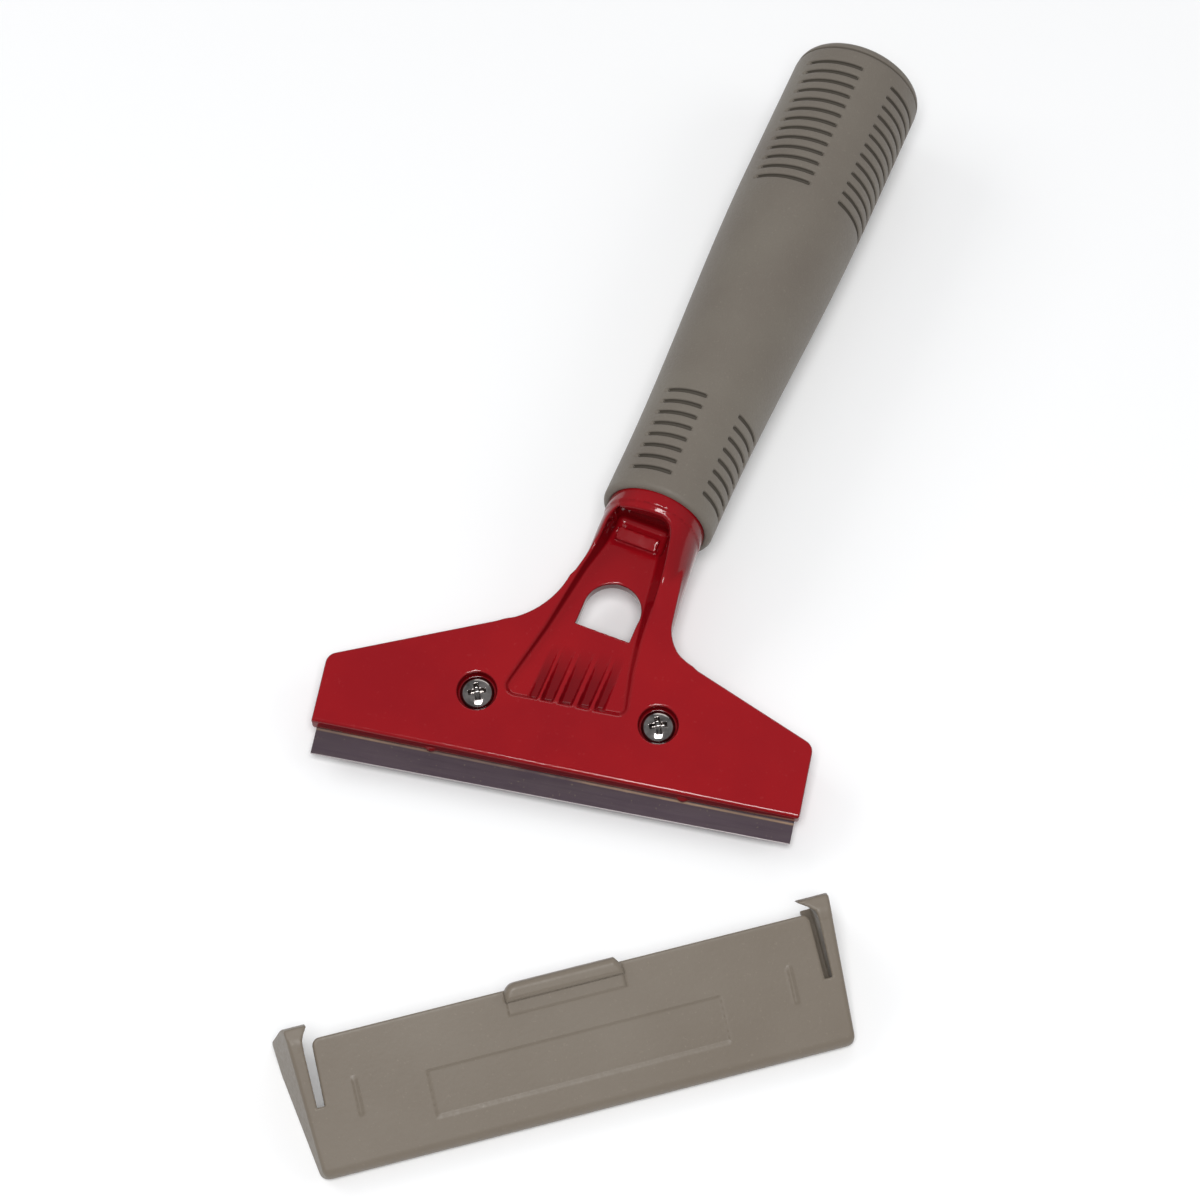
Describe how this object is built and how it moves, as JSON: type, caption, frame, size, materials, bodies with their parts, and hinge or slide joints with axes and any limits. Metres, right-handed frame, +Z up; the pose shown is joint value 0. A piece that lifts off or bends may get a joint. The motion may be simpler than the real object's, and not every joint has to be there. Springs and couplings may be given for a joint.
{
  "type": "floor scraper",
  "caption": "Hand floor scraper: a wide steel blade clamped in a red cast head, a round soft grip with finger grooves, and a press-on plastic blade guard.",
  "frame": {"origin": "middle of the whole object's box on the surface that it lies on", "axes": "+Y runs from the blade towards the handle's end, +X along the cutting edge to the right, +Z up out of the face"},
  "size_m": [0.1238, 0.2814, 0.0303],
  "materials": {
    "red_paint": "glossy red enamel",
    "blade_steel": "dark rolled steel with a ground edge",
    "bright_steel": "bright plated",
    "nut_steel": "plain plated steel",
    "core_plastic": "moulded dark plastic",
    "grip_rubber": "matte taupe soft grip",
    "guard_plastic": "satin taupe moulded plastic"
  },
  "bodies": {
    "frame": {"head_casting": "red_paint", "handle_core": "core_plastic", "grip_sleeve": "grip_rubber", "butt_cap": "grip_rubber", "tang_pin": "nut_steel"},
    "clamp": {"clamp_plate": "red_paint", "clamp_nut_left": "nut_steel", "clamp_nut_right": "nut_steel"},
    "screw_left": {"clamp_screw_left": "bright_steel"},
    "screw_right": {"clamp_screw_right": "bright_steel"},
    "blade": {"blade": "blade_steel"},
    "guard": {"guard": "guard_plastic"}
  },
  "joints": [
    {"name": "clamp_slide", "type": "slide", "parent": "frame", "child": "clamp", "axis": [0, 0.1564, -0.9877], "range_m": [0, 0.00105]},
    {"name": "screw_left_spin", "type": "hinge", "parent": "frame", "child": "screw_left", "pos_m": [-0.02943, -0.03093, 0.00901], "axis": [0, -0.1564, 0.9877], "range_deg": [0, 540.5]},
    {"name": "screw_right_spin", "type": "hinge", "parent": "frame", "child": "screw_right", "pos_m": [0.00916, -0.03093, 0.00901], "axis": [0, -0.1564, 0.9877], "range_deg": [0, 540.5]},
    {"name": "blade_slide", "type": "slide", "parent": "frame", "child": "blade", "axis": [0, -0.9877, -0.1564], "range_m": [0, 0.004]},
    {"name": "guard_swing", "type": "hinge", "parent": "frame", "child": "guard", "pos_m": [0.12233, -0.03995, 0.00001], "axis": [-0.2265, -0.0552, -0.9724], "range_deg": [0, 28.15]}
  ],
  "couplings": [
    {"joint": "screw_left_spin", "follows": "clamp_slide", "rad_per_m": 8976},
    {"joint": "screw_right_spin", "follows": "clamp_slide", "rad_per_m": 8976}
  ]
}
